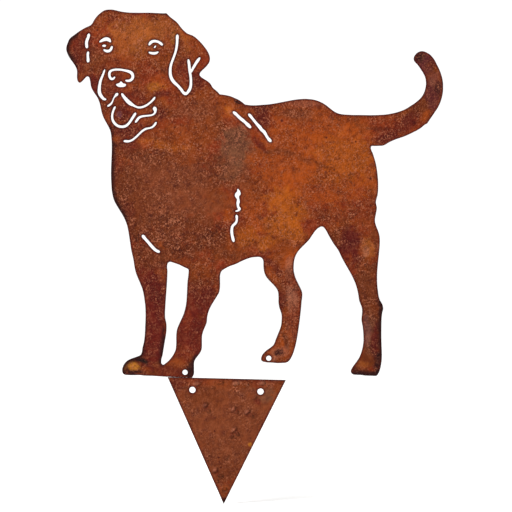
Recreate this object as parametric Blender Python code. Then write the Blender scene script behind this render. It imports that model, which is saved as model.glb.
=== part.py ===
"""A standing dog cut flat from rusted sheet steel, and the triangular stake that goes with it.

Two plates of one thickness stand upright in one plane: X runs along the dog, Y through the
sheet and Z up. Z = 0 is the ground, level with the heel of the front paw. The stake's top edge
butts under that heel, and its point goes down into the ground.
The dog's outline and slots are a free form, drawn in hundredths of the dog's height.
"""

import math

import bmesh
import bpy

# Driving sizes, in metres
DOG_HEIGHT = 0.405
SHEET_THICKNESS = 0.003
SLOT_WIDTH = 0.003
DOG_HOLE_DIAMETER = 0.0060
STAKE_WIDTH = 0.130
STAKE_LENGTH = 0.138
STAKE_HOLE_DIAMETER = 0.0071
STAKE_HOLE_SPACING = 0.075
STAKE_HOLE_DROP = 0.0133
STAKE_LEAN = math.radians(1.4)
BUTT_CLEARANCE = 0.0003
ARC_STEPS = 2

# Marks a point of an outline where the cut turns sharply
CORNER = True

HEEL = (-9.4, 0.0, CORNER)
FRONT_HOLE = (-11.34, 1.42)
REAR_HOLE = (11.41, 5.24)


def share(value):
    """Turns hundredths of the dog's height into metres."""
    return value * DOG_HEIGHT / 100.0


# The dog's outline, one function for each part of its body, clockwise from the left ear


def left_ear():
    return [
        (-37.8, 81.95), (-38.6, 81.4), (-39.4, 80.55), (-40.1, 80.2), (-40.55, 80.75),
        (-40.7, 82.0), (-40.7, 83.5), (-41.3, 84.9), (-42.5, 86.6), (-43.35, 88.2),
        (-43.62, 89.5), (-43.15, 91.1), (-42.75, 92.0), (-41.6, 93.0), (-38.6, 95.0),
        (-37.3, 95.6), (-36.75, 95.98),
    ]


def crown():
    return [
        (-36.1, 97.05), (-35.35, 98.1), (-34.35, 99.05), (-33.2, 99.8), (-32.2, 100.0),
        (-31.0, 99.98), (-29.0, 99.52), (-26.5, 99.2), (-21.0, 99.15), (-17.5, 99.0),
        (-16.4, 99.0, CORNER), (-15.2, 97.85), (-13.6, 96.6), (-12.4, 95.1), (-11.3, 93.95),
    ]


def right_ear():
    return [
        (-10.5, 93.4), (-9.3, 92.95), (-8.0, 92.0), (-6.0, 89.8), (-5.2, 88.6), (-4.65, 87.3),
        (-4.62, 86.3), (-5.0, 85.35), (-6.0, 84.2), (-7.15, 83.05), (-7.42, 82.4), (-7.1, 81.8),
        (-6.1, 81.1), (-4.95, 80.35),
    ]


def back():
    return [
        (-4.35, 79.7), (-3.85, 78.85), (-3.0, 78.1), (-2.35, 77.5), (-1.95, 77.0, CORNER),
        (-0.9, 76.85), (0.5, 76.6), (2.0, 76.05), (3.6, 75.25), (4.9, 74.25, CORNER), (6.5, 74.0),
        (9.5, 74.1), (12.5, 74.4), (16.5, 75.15), (20.0, 75.68), (22.7, 75.65), (25.0, 75.1),
        (27.0, 74.0), (29.0, 72.45), (30.5, 71.72), (32.5, 71.45), (36.5, 71.35), (42.5, 71.42),
    ]


def tail():
    return [
        (45.0, 71.8), (48.0, 72.7), (50.0, 73.85), (52.0, 75.3), (53.3, 76.75), (54.0, 78.5),
        (54.2, 80.2), (53.85, 82.0), (52.7, 83.95), (51.9, 85.1), (51.1, 85.95), (50.85, 86.8),
        (51.3, 87.8), (52.6, 88.65), (54.1, 88.45), (55.9, 87.1), (57.15, 85.0), (58.1, 82.9),
        (58.7, 80.6), (58.8, 78.5), (58.45, 76.1), (57.6, 73.8), (56.45, 72.0), (55.1, 70.0),
        (54.45, 69.05, CORNER), (53.9, 68.8), (52.7, 67.8), (50.9, 66.8), (48.2, 65.55),
        (46.0, 64.8), (44.0, 63.9), (42.7, 63.15), (41.8, 63.03), (39.35, 63.0, CORNER),
    ]


def right_hind_leg():
    return [
        (39.12, 62.5), (39.65, 61.0), (40.45, 58.4), (40.95, 55.4), (41.15, 52.4), (41.0, 49.7),
        (40.52, 47.6), (40.78, 46.2), (40.45, 44.1), (40.27, 42.6), (40.6, 41.2), (41.25, 39.5),
        (41.58, 37.8), (41.45, 34.6), (40.95, 29.5), (40.85, 26.5), (41.1, 23.4), (41.55, 21.2),
        (42.2, 20.05), (42.5, 18.7), (42.25, 17.7), (42.02, 14.0), (42.06, 9.0), (42.15, 5.5),
        (41.95, 3.6), (41.4, 1.5), (40.75, 0.52, CORNER), (37.6, 0.55), (36.4, 0.73),
        (35.0, 0.77), (34.1, 1.02), (33.75, 1.65), (34.0, 2.4), (34.9, 3.75), (36.0, 5.35),
        (36.65, 7.0), (37.1, 9.0), (37.2, 11.0), (36.95, 14.0), (36.66, 15.7), (36.82, 17.4),
        (36.75, 19.0), (36.1, 20.75), (35.73, 22.9), (35.2, 25.0), (34.15, 27.5), (32.75, 30.0),
        (31.3, 32.6), (30.4, 34.5), (29.1, 36.35), (27.6, 38.9), (26.75, 40.4), (26.0, 41.05),
        (25.2, 40.85), (24.1, 39.95), (22.4, 37.5),
    ]


def left_hind_leg():
    return [
        (20.95, 36.0), (19.5, 34.45), (18.6, 32.8), (18.2, 30.5), (18.3, 28.5), (18.9, 26.6),
        (20.1, 24.15), (20.5, 23.0), (20.35, 20.8), (20.05, 17.6), (19.6, 14.0), (19.0, 10.2),
        (18.25, 7.2), (17.5, 5.4), (16.6, 4.3), (15.8, 4.03), (12.2, 4.08), (10.2, 4.27),
        (9.45, 4.65), (9.38, 5.4), (9.9, 6.45), (11.0, 7.5), (12.75, 8.9), (13.2, 10.0),
        (14.0, 12.0), (14.7, 13.85), (14.92, 15.5), (14.9, 17.2), (14.35, 18.9), (14.08, 20.6),
        (14.0, 23.1), (13.55, 24.2), (12.1, 25.85), (10.9, 27.2), (10.2, 28.7), (9.97, 30.7),
    ]


def belly():
    return [(9.9, 31.9), (9.3, 32.65), (8.0, 32.78), (6.0, 32.45), (2.5, 30.9), (-1.1, 29.25)]


def right_front_leg():
    return [
        (-1.7, 28.4), (-1.85, 26.5), (-2.03, 23.4), (-2.75, 22.0), (-4.0, 20.0), (-4.95, 18.0),
        (-5.35, 16.3), (-5.5, 14.85), (-6.25, 13.05), (-6.75, 11.2), (-6.78, 8.3), (-7.05, 7.1),
        (-8.3, 5.35), (-8.88, 4.2), (-8.93, 1.0),
    ]


def front_sole():
    return [HEEL, (-12.5, 0.08), (-16.8, 0.26), (-20.2, 0.48), (-22.6, 0.56), (-23.6, 0.7)]


def left_front_leg():
    return [
        (-27.2, 0.72), (-28.05, 0.98), (-28.38, 1.6), (-28.2, 3.0), (-27.3, 4.35), (-25.9, 5.15),
        (-24.0, 5.82), (-23.3, 6.3), (-22.9, 8.0), (-22.45, 10.0), (-22.15, 14.0), (-22.08, 18.5),
        (-22.35, 21.2), (-22.95, 24.2), (-24.1, 27.0), (-24.85, 29.1), (-25.35, 32.0),
    ]


def chest_and_chin():
    return [
        (-26.0, 35.0), (-26.7, 39.6), (-27.25, 41.9), (-28.3, 44.2), (-30.3, 47.5),
        (-30.95, 49.3), (-31.35, 52.5), (-31.42, 57.0), (-31.25, 61.5), (-31.4, 65.8),
        (-31.75, 67.4), (-33.1, 69.9), (-33.9, 71.8), (-34.5, 74.5), (-35.2, 76.2),
        (-36.3, 77.85), (-36.9, 79.2), (-37.25, 81.2),
    ]


def gap_between_front_legs():
    return [
        (-16.15, 30.9), (-15.6, 31.45), (-14.7, 31.32), (-11.2, 29.85), (-10.42, 29.4),
        (-10.35, 28.7), (-10.65, 26.0), (-10.85, 22.0), (-11.1, 19.6), (-11.8, 17.0),
        (-13.1, 14.15), (-13.6, 12.6), (-13.72, 10.0), (-13.8, 8.1), (-14.1, 7.0), (-15.3, 5.1),
        (-16.6, 3.87), (-17.4, 3.45), (-17.82, 3.9), (-17.5, 6.0), (-16.84, 10.0), (-16.45, 12.5),
        (-16.45, 14.7), (-16.78, 16.2), (-16.75, 19.0), (-16.4, 24.0), (-16.15, 29.0),
    ]


# Slots, each a stroke along its middle line: x, z and width as a multiple of SLOT_WIDTH


def left_ear_slots():
    return [
        [(-37.55, 93.2, 1.1), (-37.62, 92.7, 1.1), (-37.92, 91.9, 1.2), (-38.13, 91.2, 1.15),
         (-38.1, 90.3, 1.1), (-38.05, 89.85, 1.05)],
        [(-37.73, 88.4, 0.9), (-37.8, 87.6, 0.95), (-37.74, 86.8, 1.05), (-37.7, 86.0, 1.05)],
    ]


def eye_slots():
    return [
        [(-34.5, 91.3, 0.65), (-33.75, 91.73, 1.15), (-32.8, 92.03, 1.45), (-32.1, 91.85, 1.3),
         (-31.65, 91.35, 0.7)],
        [(-33.7, 90.2, 0.7), (-33.4, 90.22, 0.95), (-33.1, 90.2, 0.9)],
        [(-33.4, 89.12, 0.6), (-33.0, 88.88, 0.95), (-32.45, 88.75, 1.1), (-31.9, 88.88, 1.1),
         (-31.48, 89.3, 1.0), (-31.25, 89.9, 0.85)],
        [(-21.05, 90.55, 0.85), (-20.6, 91.15, 1.15), (-19.9, 91.45, 1.1), (-19.1, 91.42, 1.0),
         (-18.4, 91.15, 0.95), (-17.6, 90.52, 0.85)],
        [(-19.7, 89.72, 0.5), (-19.52, 89.93, 0.7), (-19.34, 90.15, 0.5)],
        [(-21.1, 88.42, 0.6), (-20.5, 88.22, 0.95), (-19.9, 88.15, 1.05), (-19.3, 88.22, 1.0),
         (-18.7, 88.5, 0.6)],
    ]


def right_ear_fold():
    """The long slot round the right ear's fold."""
    return [
        (-13.45, 93.0, 0.95), (-13.48, 91.8, 0.95), (-13.6, 90.2, 0.95), (-13.95, 88.5, 0.9),
        (-14.7, 86.4, 0.9), (-15.2, 84.9, 0.95), (-15.38, 83.2, 1.05), (-15.2, 81.8, 1.15),
        (-14.5, 80.5, 1.2), (-13.2, 79.25, 1.05), (-12.3, 78.2, 1.05), (-11.25, 77.15, 1.15),
        (-10.5, 77.75, 1.15), (-9.95, 78.75, 1.1), (-9.75, 80.2, 0.95), (-9.85, 82.0, 0.95),
        (-10.1, 83.6, 1.0), (-10.25, 85.2, 1.0), (-10.45, 86.4, 0.65),
    ]


def right_ear_branch():
    """The short slot that leaves the long one like the arm of a Y."""
    return [(-9.95, 82.8, 0.7), (-9.3, 83.9, 0.95), (-8.3, 85.6, 1.05), (-7.4, 86.85, 0.75)]


def nose_slots():
    return [
        [(-30.52, 81.65, 0.7), (-30.85, 81.27, 0.85), (-31.3, 81.18, 0.95), (-31.73, 81.55, 0.95),
         (-31.93, 82.3, 0.95), (-31.82, 83.05, 1.0), (-31.35, 83.47, 0.9), (-30.5, 83.7, 0.85),
         (-29.5, 83.74, 0.85), (-28.5, 83.66, 0.85), (-27.5, 83.45, 0.95), (-26.5, 83.17, 1.1),
         (-25.87, 82.75, 1.15), (-25.58, 82.15, 1.1), (-25.6, 81.5, 1.1), (-26.05, 80.93, 1.05),
         (-26.7, 80.68, 0.95), (-27.4, 80.75, 0.7)],
        [(-33.22, 83.65, 0.5), (-33.5, 82.8, 0.8), (-33.9, 81.8, 0.9), (-34.3, 80.8, 1.0),
         (-34.52, 79.8, 1.1), (-34.66, 78.6, 1.2), (-34.65, 77.65, 1.3), (-34.42, 76.95, 1.25),
         (-33.98, 76.3, 1.15), (-33.4, 75.72, 0.95), (-33.0, 75.62, 0.8)],
    ]


def nose_base():
    """The bean-shaped cut under the nose, with a small peak on its upper side."""
    return [
        (-30.15, 79.72), (-29.9, 79.3), (-29.3, 79.0), (-28.5, 78.95), (-27.8, 79.05),
        (-27.35, 79.5), (-27.5, 79.85), (-28.1, 80.0), (-28.5, 80.35), (-28.85, 80.6),
        (-29.15, 80.2), (-29.6, 80.0),
    ]


def lip_slots():
    return [
        [(-29.85, 77.05, 1.15), (-30.35, 76.5, 0.75), (-30.77, 75.9, 0.55), (-31.0, 75.25, 0.6),
         (-31.4, 74.55, 0.75), (-31.95, 74.05, 0.85), (-32.3, 73.85, 0.7)],
        [(-28.5, 77.1, 0.75), (-28.0, 76.38, 1.05), (-27.4, 75.65, 1.3), (-26.8, 75.0, 1.4),
         (-26.13, 74.45, 1.35), (-25.4, 74.02, 0.95), (-24.7, 73.65, 0.75), (-24.0, 73.44, 0.8),
         (-23.1, 73.52, 0.85), (-22.2, 73.84, 0.85), (-21.3, 74.4, 0.8), (-20.2, 75.35, 0.8),
         (-19.6, 76.15, 0.65)],
        [(-19.62, 73.2, 1.4), (-19.45, 72.45, 1.0), (-19.65, 71.85, 0.75), (-20.3, 71.4, 0.7),
         (-21.3, 71.22, 0.7), (-22.3, 71.12, 0.75), (-23.15, 70.98, 0.85), (-23.9, 70.62, 0.95),
         (-24.4, 70.0, 0.95), (-24.75, 69.5, 0.75)],
    ]


def tongue_and_jaw_slots():
    return [
        [(-30.4, 73.55, 0.7), (-30.72, 72.9, 0.8), (-31.0, 72.1, 0.85), (-31.17, 71.1, 0.85),
         (-31.07, 70.2, 0.9), (-30.7, 69.4, 0.95), (-30.1, 68.75, 0.95), (-29.35, 68.32, 0.95),
         (-28.6, 68.2, 1.0), (-27.8, 68.28, 1.0), (-27.05, 68.7, 1.0), (-26.35, 69.5, 0.95),
         (-25.75, 70.4, 1.0), (-25.2, 71.25, 1.0), (-24.87, 71.8, 0.85)],
        [(-19.25, 69.3, 0.7), (-19.6, 68.75, 0.85), (-20.2, 68.15, 0.8), (-21.0, 67.83, 0.7),
         (-21.9, 67.65, 0.8), (-22.8, 67.15, 0.85), (-23.5, 66.55, 0.8), (-24.25, 65.8, 0.8),
         (-25.0, 65.12, 0.8), (-25.85, 64.52, 0.8), (-26.7, 64.25, 0.85), (-27.85, 64.3, 0.75)],
    ]


def shoulder_slots():
    return [
        [(1.95, 72.1, 1.0), (2.75, 71.4, 1.1), (3.5, 70.65, 1.15), (4.3, 70.0, 1.2),
         (5.0, 69.4, 1.05), (6.35, 68.1, 1.05)],
        [(6.1, 71.5, 0.95), (6.8, 70.65, 1.0), (8.15, 69.0, 1.05), (8.95, 68.1, 1.3),
         (9.55, 67.3, 1.2), (10.2, 66.75, 1.25), (10.65, 65.95, 1.05), (11.15, 65.15, 1.0),
         (11.85, 64.35, 1.1)],
    ]


def flank_slots():
    return [
        [(3.02, 51.15, 0.5), (3.22, 50.55, 1.2), (3.05, 49.95, 1.95), (2.8, 49.3, 1.55),
         (3.1, 48.5, 0.9), (3.1, 47.7, 1.25), (3.0, 46.95, 0.9), (3.15, 46.35, 0.95),
         (3.4, 45.85, 1.15), (3.1, 45.42, 0.7), (2.5, 45.25, 0.5)],
        [(2.68, 43.95, 0.9), (2.73, 43.2, 0.8), (2.62, 42.4, 0.85), (2.2, 41.78, 0.95),
         (1.6, 41.2, 0.95), (1.38, 40.4, 1.0), (1.36, 39.5, 1.05), (1.48, 38.6, 1.05),
         (1.65, 37.85, 1.1), (1.85, 37.15, 0.9)],
    ]


def chest_slot():
    return [
        (-22.78, 38.45, 1.15), (-22.2, 37.75, 1.1), (-21.4, 36.85, 1.1), (-20.6, 35.9, 1.15),
        (-19.9, 35.15, 1.15), (-19.2, 34.55, 1.05), (-18.45, 34.2, 0.9),
    ]


def stroke(line):
    """The closed outline of a slot with round ends, from its middle line and its widths."""
    left, right = [], []
    for index, (x, z, width) in enumerate(line):
        before = line[max(index - 1, 0)]
        after = line[min(index + 1, len(line) - 1)]
        heading = math.atan2(after[1] - before[1], after[0] - before[0])
        half = width * SLOT_WIDTH / 2
        across = (-math.sin(heading) * half, math.cos(heading) * half)
        left.append((share(x) + across[0], share(z) + across[1]))
        right.append((share(x) - across[0], share(z) - across[1]))
    return left + [cap(line[-2], line[-1])] + right[::-1] + [cap(line[1], line[0])]


def cap(inner, end):
    """The farthest point of a slot's round end."""
    heading = math.atan2(end[1] - inner[1], end[0] - inner[0])
    half = end[2] * SLOT_WIDTH / 2
    return share(end[0]) + math.cos(heading) * half, share(end[1]) + math.sin(heading) * half


def scaled(points):
    """An outline in hundredths of the dog's height, turned into metres with its corners kept."""
    return [(share(point[0]), share(point[1]), *point[2:]) for point in points]


def circle(centre, diameter):
    """A round hole's outline: eight points, which the spline bends into an arc."""
    angles = [index * math.pi / 4 for index in range(8)]
    radius = diameter / 2
    return [(centre[0] + radius * math.cos(a), centre[1] + radius * math.sin(a)) for a in angles]


def plate(name, outlines, thickness, collection):
    """A flat plate in the XZ plane: its first outline is its edge, the others are openings."""
    curve = bpy.data.curves.new(name + "_outline", "CURVE")
    curve.dimensions = "2D"
    curve.fill_mode = "BOTH"
    curve.extrude = thickness / 2
    curve.resolution_u = ARC_STEPS
    curve.render_resolution_u = 0
    for outline in outlines:
        spline = curve.splines.new("BEZIER")
        spline.bezier_points.add(len(outline) - 1)
        spline.use_cyclic_u = True
        for point, bezier in zip(outline, spline.bezier_points):
            bezier.co = (point[0], point[1], 0.0)
            handle = "VECTOR" if len(point) > 2 else "AUTO"
            bezier.handle_left_type = handle
            bezier.handle_right_type = handle
    flat = bpy.data.objects.new(name + "_outline", curve)
    flat.rotation_euler = (math.pi / 2, 0.0, 0.0)
    bpy.context.scene.collection.objects.link(flat)
    bpy.context.view_layer.update()
    evaluated = flat.evaluated_get(bpy.context.evaluated_depsgraph_get())
    mesh = bpy.data.meshes.new_from_object(evaluated)
    mesh.name = name
    weld_caps(mesh)
    piece = bpy.data.objects.new(name, mesh)
    piece.matrix_world = flat.matrix_world
    collection.objects.link(piece)
    bpy.data.objects.remove(flat)
    return piece


def weld_caps(mesh):
    """Joins a filled curve's two faces to its edge wall, so that it is one closed body."""
    shape = bmesh.new()
    shape.from_mesh(mesh)
    bmesh.ops.remove_doubles(shape, verts=shape.verts, dist=0.000001)
    bmesh.ops.recalc_face_normals(shape, faces=shape.faces)
    shape.to_mesh(mesh)
    shape.free()


def rusted_steel(name, colour):
    """Mild steel sheet left to rust: matte, with little of the metal's shine left."""
    material = bpy.data.materials.new(name)
    material.use_nodes = True
    shader = material.node_tree.nodes["Principled BSDF"]
    shader.inputs["Base Color"].default_value = (*colour, 1.0)
    shader.inputs["Roughness"].default_value = 0.75
    shader.inputs["Metallic"].default_value = 0.3
    material.diffuse_color = (*colour, 1.0)
    return material


def cut(piece, outline, collection):
    """Cuts an opening that crosses one of the piece's other openings."""
    cutter = plate(piece.name + "_cutter", [outline], 2 * SHEET_THICKNESS, collection)
    cutter.hide_render = True
    cutter.display_type = "WIRE"
    boolean = piece.modifiers.new("crossing_slot", "BOOLEAN")
    boolean.object = cutter
    boolean.operation = "DIFFERENCE"
    boolean.solver = "EXACT"


def dog(collection, cutters):
    edge = (
        left_ear() + crown() + right_ear() + back() + tail() + right_hind_leg()
        + left_hind_leg() + belly() + right_front_leg() + front_sole() + left_front_leg()
        + chest_and_chin()
    )
    lines = (
        left_ear_slots() + eye_slots() + [right_ear_fold()] + nose_slots() + lip_slots()
        + tongue_and_jaw_slots() + shoulder_slots() + flank_slots() + [chest_slot()]
    )
    openings = [scaled(gap_between_front_legs()), scaled(nose_base())]
    openings += [stroke(line) for line in lines]
    for hole in (FRONT_HOLE, REAR_HOLE):
        openings.append(circle((share(hole[0]), share(hole[1])), DOG_HOLE_DIAMETER))
    piece = plate("dog_silhouette", [scaled(edge)] + openings, SHEET_THICKNESS, collection)
    piece.data.materials.append(rusted_steel("rusted_steel_dog", (0.165, 0.048, 0.020)))
    cut(piece, stroke(right_ear_branch()), cutters)


def stake(collection):
    """An isosceles triangle, point down, that leans with its top edge under the dog's heel."""
    half = STAKE_WIDTH / 2
    corners = [(-half, 0.0), (half, 0.0), (0.0, -STAKE_LENGTH)]
    holes = [(side * STAKE_HOLE_SPACING / 2, -STAKE_HOLE_DROP) for side in (-1, 1)]
    top = share(HEEL[1]) - BUTT_CLEARANCE + share(HEEL[0]) * math.tan(STAKE_LEAN)

    def placed(x, z):
        return (
            x * math.cos(STAKE_LEAN) + z * math.sin(STAKE_LEAN),
            top - x * math.sin(STAKE_LEAN) + z * math.cos(STAKE_LEAN),
        )

    outlines = [[(*placed(x, z), CORNER) for x, z in corners]]
    outlines += [circle(placed(x, z), STAKE_HOLE_DIAMETER) for x, z in holes]
    piece = plate("ground_stake", outlines, SHEET_THICKNESS, collection)
    piece.data.materials.append(rusted_steel("rusted_steel_stake", (0.150, 0.046, 0.021)))


def main():
    for item in list(bpy.data.objects):
        bpy.data.objects.remove(item)
    parts = bpy.data.collections.new("dog_garden_stake")
    cutters = bpy.data.collections.new("cutters")
    bpy.context.scene.collection.children.link(parts)
    bpy.context.scene.collection.children.link(cutters)
    dog(parts, cutters)
    stake(parts)


main()
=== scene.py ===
import math

import bmesh
import bpy
import numpy as np
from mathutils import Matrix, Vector, kdtree, noise
from mathutils.geometry import delaunay_2d_cdt


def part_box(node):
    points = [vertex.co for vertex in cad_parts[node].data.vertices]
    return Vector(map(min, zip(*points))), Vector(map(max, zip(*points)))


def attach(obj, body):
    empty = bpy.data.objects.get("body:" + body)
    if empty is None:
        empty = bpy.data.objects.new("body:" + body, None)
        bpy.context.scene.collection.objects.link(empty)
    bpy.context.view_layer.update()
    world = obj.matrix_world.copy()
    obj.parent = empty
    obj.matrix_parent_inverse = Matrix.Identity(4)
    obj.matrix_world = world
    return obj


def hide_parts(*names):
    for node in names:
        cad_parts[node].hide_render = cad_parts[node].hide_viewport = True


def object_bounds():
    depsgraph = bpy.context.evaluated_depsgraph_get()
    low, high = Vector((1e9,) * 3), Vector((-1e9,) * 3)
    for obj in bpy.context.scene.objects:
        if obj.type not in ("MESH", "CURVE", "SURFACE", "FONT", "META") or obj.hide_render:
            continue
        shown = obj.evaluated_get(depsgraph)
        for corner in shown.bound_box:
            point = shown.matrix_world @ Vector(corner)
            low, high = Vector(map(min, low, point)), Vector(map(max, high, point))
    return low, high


# A garden dog: two flat plates of 3 mm mild steel, laser-cut and left outdoors to rust.
# The dog's plate has its face and coat drawn by slots cut right through it. The stake is a
# plain triangle whose top edge sits under the front paw and whose point goes into the soil.

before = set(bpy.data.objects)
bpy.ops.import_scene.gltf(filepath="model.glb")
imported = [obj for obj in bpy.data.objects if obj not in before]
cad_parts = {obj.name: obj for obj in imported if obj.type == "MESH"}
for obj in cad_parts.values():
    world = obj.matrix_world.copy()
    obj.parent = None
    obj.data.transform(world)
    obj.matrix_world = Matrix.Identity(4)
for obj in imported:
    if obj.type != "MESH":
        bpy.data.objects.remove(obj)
cad_box = [list(corner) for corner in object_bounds()]

# Python's vector noise draws on the clock unless it is given a seed
noise.seed_set(7)

# The dog's plate.
# Laser-cut mild steel sheet: the cut leaves a slightly rounded arris and fine upright ridges
# on its walls, and the two faces carry a thin uneven crust of rust with pits in it.

# One millimetre, in metres. The sizes of the cuts and of the rust are in millimetres.
MM = 0.001
HALF_SHEET = 1.5
# How far apart a mesh's points are along the cuts and over its two faces
WALL_STEP = 1.0
FRONT_GRAIN = 1.5
BACK_GRAIN = 2.0
# Depth behind the front face and distance into the sheet, of each line along a cut edge
ARRIS_AND_WALL = [
    (0.0, 0.42), (0.05, 0.16), (0.22, 0.0), (0.85, 0.03), (1.5, 0.0), (2.15, 0.03),
    (2.78, 0.0), (2.95, 0.16), (3.0, 0.42),
]
ARRIS_WIDTH = ARRIS_AND_WALL[0][1]
# Lines closer to the cut than this are on its wall, and carry the beam's ridges
WALL_REACH = 0.1
RIDGE_DEPTH = 0.05
RIDGES_PER_MM = 1.7
RIDGE_LEAN = (0.25, 0.4)
# Corners that turn by more than this many degrees are blunted by this much
SHARP_TURN = 55
BLUNT = 0.55
# Rust that has grown on the cuts, which narrows the slots a little
CRUST_IN_SLOTS = 0.12
CRUST_ROUND = 0.1
# From a spot this far off the cut, how far away any cut has to be for rust to start growing
# there, and to grow fully
LOOK_OFF = 0.9
ROOM_TO_GROW = (0.5, 0.85)
# Of the blisters, and of the clusters that they stand in
BLISTER_SPACING = 5.0
CLUSTER_SPACING = 18.0


def cut_outlines(node):
    """A plate's outlines on its front face, in millimetres, each with the sheet on its left."""
    merged = bmesh.new()
    merged.from_mesh(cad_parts[node].data)
    bmesh.ops.remove_doubles(merged, verts=merged.verts, dist=0.000001)
    merged.normal_update()
    following = {}
    place = {}
    for face in merged.faces:
        if face.normal.y > -0.5:
            continue
        for corner in face.loops:
            if corner.link_loop_radial_next.face.normal.y > -0.5:
                start, end = corner.vert, corner.link_loop_next.vert
                following[start.index] = end.index
                place[start.index] = (start.co.x / MM, start.co.z / MM)
    outlines = []
    while following:
        index = next(iter(following))
        outline = []
        while index in following:
            outline.append(Vector(place[index]))
            index = following.pop(index)
        outlines.append(outline)
    merged.free()
    return outlines


def turning(before, here, after):
    """How far an outline turns at a point, in degrees, positive to the left."""
    return math.degrees((here - before).angle_signed(after - here)) * -1


def blunted(outline):
    """An outline with its sharp corners blunted, as the beam leaves them. Each point comes
    with whether the curve meets it straight from both sides."""
    points = []
    for index, here in enumerate(outline):
        before, after = outline[index - 1], outline[(index + 1) % len(outline)]
        if abs(turning(before, here, after)) > SHARP_TURN:
            back = here + (before - here).normalized() * BLUNT
            on = here + (after - here).normalized() * BLUNT
            points += [(back, True), ((back + on) / 4 + here / 2, False), (on, True)]
        else:
            points.append((here, False))
    return points


def smoothed(outline, step):
    """An outline as a smooth curve through its points, about a step between points."""
    points = blunted(outline)
    count = len(points)
    result = []
    for index in range(count):
        (p0, _), (p1, fixed1) = points[index - 1], points[index]
        (p2, fixed2), (p3, _) = points[(index + 1) % count], points[(index + 2) % count]
        span = (p2 - p1).length
        leave = (p2 - p1) if fixed1 else (p2 - p0) * span / max((p2 - p0).length, 1e-6)
        arrive = (p2 - p1) if fixed2 else (p3 - p1) * span / max((p3 - p1).length, 1e-6)
        pieces = max(1, round(span / step))
        for k in range(pieces):
            t = k / pieces
            result.append(
                p1 * (2 * t**3 - 3 * t**2 + 1) + leave * (t**3 - 2 * t**2 + t)
                + p2 * (3 * t**2 - 2 * t**3) + arrive * (t**3 - t**2)
            )
    return result


def into_sheet(outline):
    """For each point of an outline, the direction into the sheet, longer at a corner."""
    # The cosine at which a corner's direction grows no longer
    sharpest = 0.6
    directions = []
    for index, here in enumerate(outline):
        along_in = (here - outline[index - 1]).normalized()
        along_out = (outline[(index + 1) % len(outline)] - here).normalized()
        left_in = Vector((-along_in.y, along_in.x))
        left_out = Vector((-along_out.y, along_out.x))
        middle = (left_in + left_out).normalized()
        directions.append(middle / max(middle.dot(left_in), sharpest))
    return directions


def safe_insets(outline, directions, inset):
    """The largest inset at each point, up to the one asked for, that folds no stretch over."""
    insets = [inset] * len(outline)
    # The least share of its length that a stretch keeps
    kept = 0.2
    for _ in range(8):
        moved = [p + d * k for p, d, k in zip(outline, directions, insets)]
        tight = set()
        for index in range(len(outline)):
            step = outline[index] - outline[index - 1]
            if (moved[index] - moved[index - 1]).dot(step) < kept * step.dot(step):
                tight |= {index, index - 1}
        if not tight:
            break
        for index in tight:
            insets[index] *= 0.5
    return insets


def growths(outline, directions, most):
    """How far the crust has grown off each point of a cut: less where a slot runs thin."""
    edge = kdtree.KDTree(len(outline))
    for index, point in enumerate(outline):
        edge.insert((point.x, point.y, 0.0), index)
    edge.balance()
    least, full = ROOM_TO_GROW
    result = []
    for point, direction in zip(outline, directions):
        off = point - direction.normalized() * LOOK_OFF
        room = edge.find((off.x, off.y, 0.0))[2]
        result.append(most * min(max((room - least) / (full - least), 0.0), 1.0))
    return result


def face_points(rims, grain, seed):
    """Points strewn over a face in an uneven triangular net, clear of its rims."""
    near = kdtree.KDTree(sum(len(rim) for rim in rims))
    for index, point in enumerate(p for rim in rims for p in rim):
        near.insert((point.x, point.y, 0.0), index)
    near.balance()
    crossings = {}
    low = min(p.y for p in rims[0])
    row_height = grain * math.sqrt(3) / 2
    for rim in rims:
        for start, end in zip(rim, rim[1:] + rim[:1]):
            lower, upper = sorted((start, end), key=lambda p: p.y)
            row = math.ceil((lower.y - low) / row_height)
            while low + row * row_height < upper.y:
                share = (low + row * row_height - lower.y) / (upper.y - lower.y)
                crossings.setdefault(row, []).append(lower.x + (upper.x - lower.x) * share)
                row += 1
    sway, clearance = grain * 0.22, grain * 0.55
    # Noise this fine shifts each point its own way
    fineness = 3.1
    points = []
    for row, places in sorted(crossings.items()):
        places.sort()
        y = low + row * row_height
        for left, right in zip(places[::2], places[1::2]):
            column = math.ceil(left / grain - row % 2 / 2)
            while (column + row % 2 / 2) * grain < right:
                x = (column + row % 2 / 2) * grain
                shift = noise.noise_vector((x * fineness, y * fineness, seed)) * sway
                point = Vector((x + shift.x, y + shift.y))
                distance = near.find((point.x, point.y, 0.0))[2]
                if distance > clearance:
                    points.append((point, distance))
                column += 1
    return points


def in_opening(corners, rims, verts):
    """Whether a triangle lies off the sheet. Its corners are then all on one rim, which runs
    with the sheet on its left, so taken in the rim's order they turn to the right."""
    for rim in rims:
        if all(corner in rim for corner in corners):
            (ax, _, ay), (bx, _, by), (cx, _, cy) = (verts[k] for k in sorted(corners))
            return (bx - ax) * (cy - ay) < (cx - ax) * (by - ay)
    return False


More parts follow.
